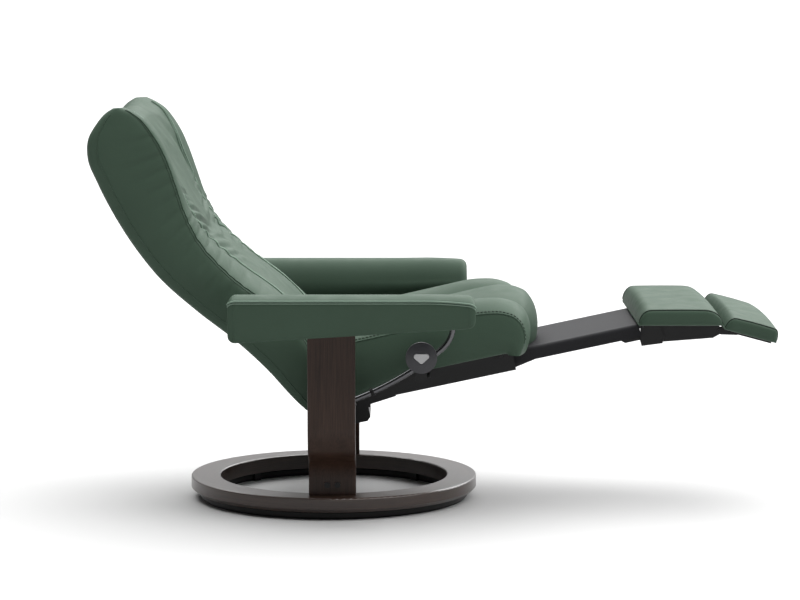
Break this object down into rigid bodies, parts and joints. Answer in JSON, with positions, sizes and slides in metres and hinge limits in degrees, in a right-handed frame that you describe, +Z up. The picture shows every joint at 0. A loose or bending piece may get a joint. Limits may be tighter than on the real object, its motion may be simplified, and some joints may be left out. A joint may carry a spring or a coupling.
{
  "type": "wingback recliner",
  "caption": "Swivel recliner on a round wooden base: winged padded back, padded arms, gliding seat and a powered sliding leg rest with a folding footrest.",
  "frame": {"origin": "on the floor, under the swivel axis", "axes": "+X forward, the way the sitter faces; +Y to the sitter's left; +Z up"},
  "size_m": [1.4589, 0.854, 0.8674],
  "materials": {
    "rubber": "matt",
    "black_steel": "satin powder coat",
    "bright_steel": "zinc",
    "wood": "satin stain",
    "leather": "pigmented leather over foam",
    "black_plastic": "fine texture",
    "beam_coat": "fine textured coat",
    "silver_insert": "satin silver"
  },
  "bodies": {
    "base": {"floor_pad_ring": "rubber", "base_ring": "black_steel", "glide_pads": "black_plastic"},
    "chair_frame": {"wood_ring": "wood", "swivel_race": "bright_steel", "race_screws": "bright_steel", "retainer_clips": "black_steel", "upright_right": "wood", "upright_left": "wood", "upright_bolts": "bright_steel", "cross_bar": "black_steel", "cross_bar_bolts": "bright_steel", "arm_right": "leather", "arm_left": "leather", "arm_plates": "black_steel", "rail_right": "black_steel", "rail_left": "black_steel", "rail_clamps": "black_steel", "rail_collars": "rubber"},
    "seat": {"seat_cushion": "leather", "seat_pan": "black_steel", "legrest_housing": "black_steel", "housing_bezel": "black_plastic", "beam_guides": "black_plastic", "actuator_tube": "bright_steel", "drive_unit": "black_plastic", "power_inlet": "black_plastic", "glide_shoes": "black_plastic", "glide_brackets_right": "black_steel", "glide_brackets_left": "black_steel", "back_lugs": "black_steel", "back_pins": "bright_steel", "switch_housing": "black_plastic"},
    "switch": {"switch_rocker": "black_plastic"},
    "wheel_right": {"hand_wheel_right": "black_plastic", "wheel_insert_right": "silver_insert", "wheel_stud_right": "bright_steel"},
    "wheel_left": {"hand_wheel_left": "black_plastic", "wheel_insert_left": "silver_insert", "wheel_stud_left": "bright_steel"},
    "back": {"back_frame": "black_steel", "back_shell": "leather", "back_cushion": "leather", "head_pins": "bright_steel"},
    "head": {"head_frame": "black_steel", "head_shell": "leather", "head_cushion": "leather"},
    "leg_beam": {"leg_beam": "beam_coat", "beam_block": "black_plastic", "actuator_rod": "bright_steel", "beam_wedge": "black_plastic", "beam_lugs": "black_steel"},
    "footrest": {"footrest_tray": "black_steel", "footrest_cushion": "leather", "footrest_pins": "bright_steel"},
    "foot_flap": {"flap_tray": "black_steel", "flap_cushion": "leather"}
  },
  "joints": [
    {"name": "swivel", "type": "hinge", "parent": "base", "child": "chair_frame", "pos_m": [0, 0, 0.02], "axis": [0, 0, 1], "continuous": true},
    {"name": "seat_glide", "type": "hinge", "parent": "chair_frame", "child": "seat", "pos_m": [-0.191, 0, 0.885], "axis": [0, 1, 0], "range_deg": [0, 5.1]},
    {"name": "wheel_turn_right", "type": "hinge", "parent": "seat", "child": "wheel_right", "pos_m": [0.191, -0.329, 0.351], "axis": [0, -1, 0], "range_deg": [-180, 180]},
    {"name": "wheel_turn_left", "type": "hinge", "parent": "seat", "child": "wheel_left", "pos_m": [0.191, 0.329, 0.351], "axis": [0, 1, 0], "range_deg": [-180, 180]},
    {"name": "switch_rock", "type": "hinge", "parent": "seat", "child": "switch", "pos_m": [0.12185, 0.261, 0.27472], "axis": [-0.2079, 0, 0.9781], "range_deg": [-5, 5], "stiffness_Nm_per_rad": 0.5},
    {"name": "back_recline", "type": "hinge", "parent": "seat", "child": "back", "pos_m": [-0.014, 0, 0.292], "axis": [0, 1, 0], "range_deg": [0, 11]},
    {"name": "head_tilt", "type": "hinge", "parent": "back", "child": "head", "pos_m": [-0.39642, 0, 0.58818], "axis": [0, 1, 0], "range_deg": [-9, 0]},
    {"name": "leg_slide", "type": "slide", "parent": "seat", "child": "leg_beam", "axis": [0.9781, 0, 0.2079], "range_m": [-0.27, 0]},
    {"name": "footrest_fold", "type": "hinge", "parent": "leg_beam", "child": "footrest", "pos_m": [0.703, 0, 0.368], "axis": [0, 1, 0], "range_deg": [0, 85]},
    {"name": "flap_fold", "type": "hinge", "parent": "footrest", "child": "foot_flap", "pos_m": [0.835, 0, 0.384], "axis": [0, 1, 0], "range_deg": [0, 85]}
  ],
  "couplings": [
    {"joint": "back_recline", "follows": "seat_glide", "ratio": 2.1569},
    {"joint": "head_tilt", "follows": "seat_glide", "ratio": -1.7647},
    {"joint": "footrest_fold", "follows": "leg_slide", "rad_per_m": -5.4946},
    {"joint": "flap_fold", "follows": "leg_slide", "rad_per_m": -5.4946}
  ]
}
